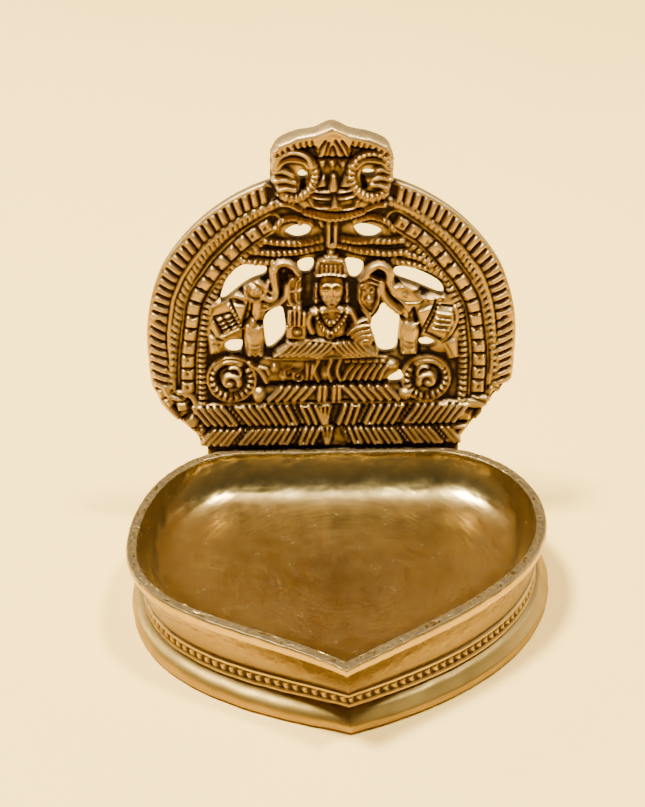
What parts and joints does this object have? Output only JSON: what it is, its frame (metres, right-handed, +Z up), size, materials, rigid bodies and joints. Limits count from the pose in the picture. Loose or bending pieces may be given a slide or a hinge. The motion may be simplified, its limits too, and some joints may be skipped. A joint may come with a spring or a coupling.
{
  "type": "leaf-shaped oil lamp",
  "caption": "Leaf-shaped cast oil bowl with a pointed spout on a beaded collar and flared foot, with a pierced arched back plate in relief.",
  "frame": {"origin": "centre of the lamp's bounding box on the surface that the foot stands on", "axes": "+Z up, the bowl's spout towards -Y, the back plate at +Y, its face towards -Y"},
  "size_m": [0.0916, 0.0936, 0.0924],
  "materials": {
    "bowl_brass": "cast and brushed, lightly oil-stained",
    "collar_brass": "cast, dark patina between the beads",
    "foot_brass": "cast and filed smooth",
    "plate_brass": "cast relief, dark patina in the hollows and worn bright on top",
    "screw_brass": "turned"
  },
  "bodies": {
    "root": {"oil_bowl": "bowl_brass", "beaded_collar": "collar_brass", "foot_ring": "foot_brass", "back_plate": "plate_brass", "plate_screw_left": "screw_brass", "plate_screw_right": "screw_brass"}
  },
  "joints": []
}
